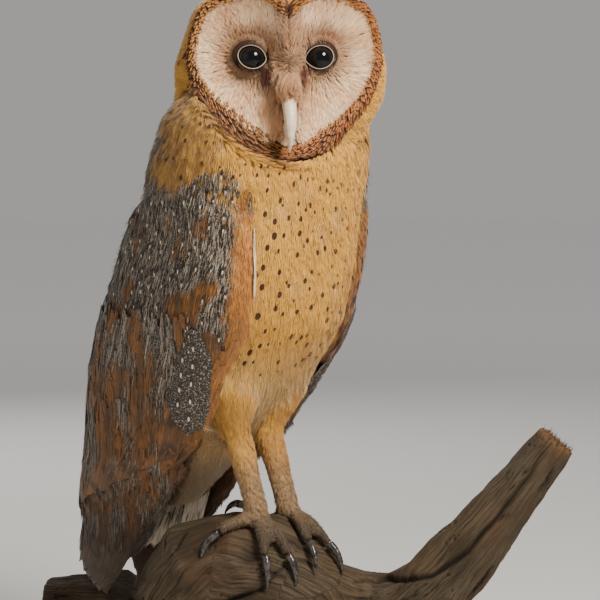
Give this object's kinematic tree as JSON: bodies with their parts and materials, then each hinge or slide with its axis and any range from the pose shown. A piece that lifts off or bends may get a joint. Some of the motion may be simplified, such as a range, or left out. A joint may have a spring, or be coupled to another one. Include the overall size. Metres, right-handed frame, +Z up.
{
  "type": "taxidermy barn owl",
  "caption": "Life-size mounted barn owl in golden buff and grey plumage, standing upright on weathered driftwood with a short raised branch.",
  "frame": {"origin": "on the driftwood's flat underside, below the bird's feet", "axes": "+Z up, -Y the way the face looks, +X towards the raised branch"},
  "size_m": [0.3137, 0.2368, 0.407],
  "materials": {
    "plumage": "soft feathers, golden buff with small dark spots",
    "face": "soft cream feathers",
    "wing_feathers": "grey and buff feathers with white spots",
    "flight_feathers": "brown feathers with dark bars",
    "legs": "short-feathered, scaled skin",
    "bill": "ivory horn",
    "claw": "black horn",
    "eye": "polished black",
    "wood": "weathered grey-brown driftwood"
  },
  "bodies": {
    "root": {"facial_disc": "face", "head": "plumage", "eye_right": "eye", "eye_left": "eye", "bill_upper": "bill", "bill_lower": "bill", "neck": "plumage", "tail": "flight_feathers", "wing_right": "wing_feathers", "primaries_right": "flight_feathers", "wing_left": "wing_feathers", "primaries_left": "flight_feathers", "foot_right": "legs", "shank_right": "legs", "claw_right_inner": "claw", "claw_right_middle": "claw", "claw_right_outer": "claw", "claw_right_hind": "claw", "thigh_right": "plumage", "foot_left": "legs", "shank_left": "legs", "claw_left_inner": "claw", "claw_left_middle": "claw", "claw_left_outer": "claw", "claw_left_hind": "claw", "thigh_left": "plumage", "trunk": "plumage", "driftwood": "wood"}
  },
  "joints": []
}
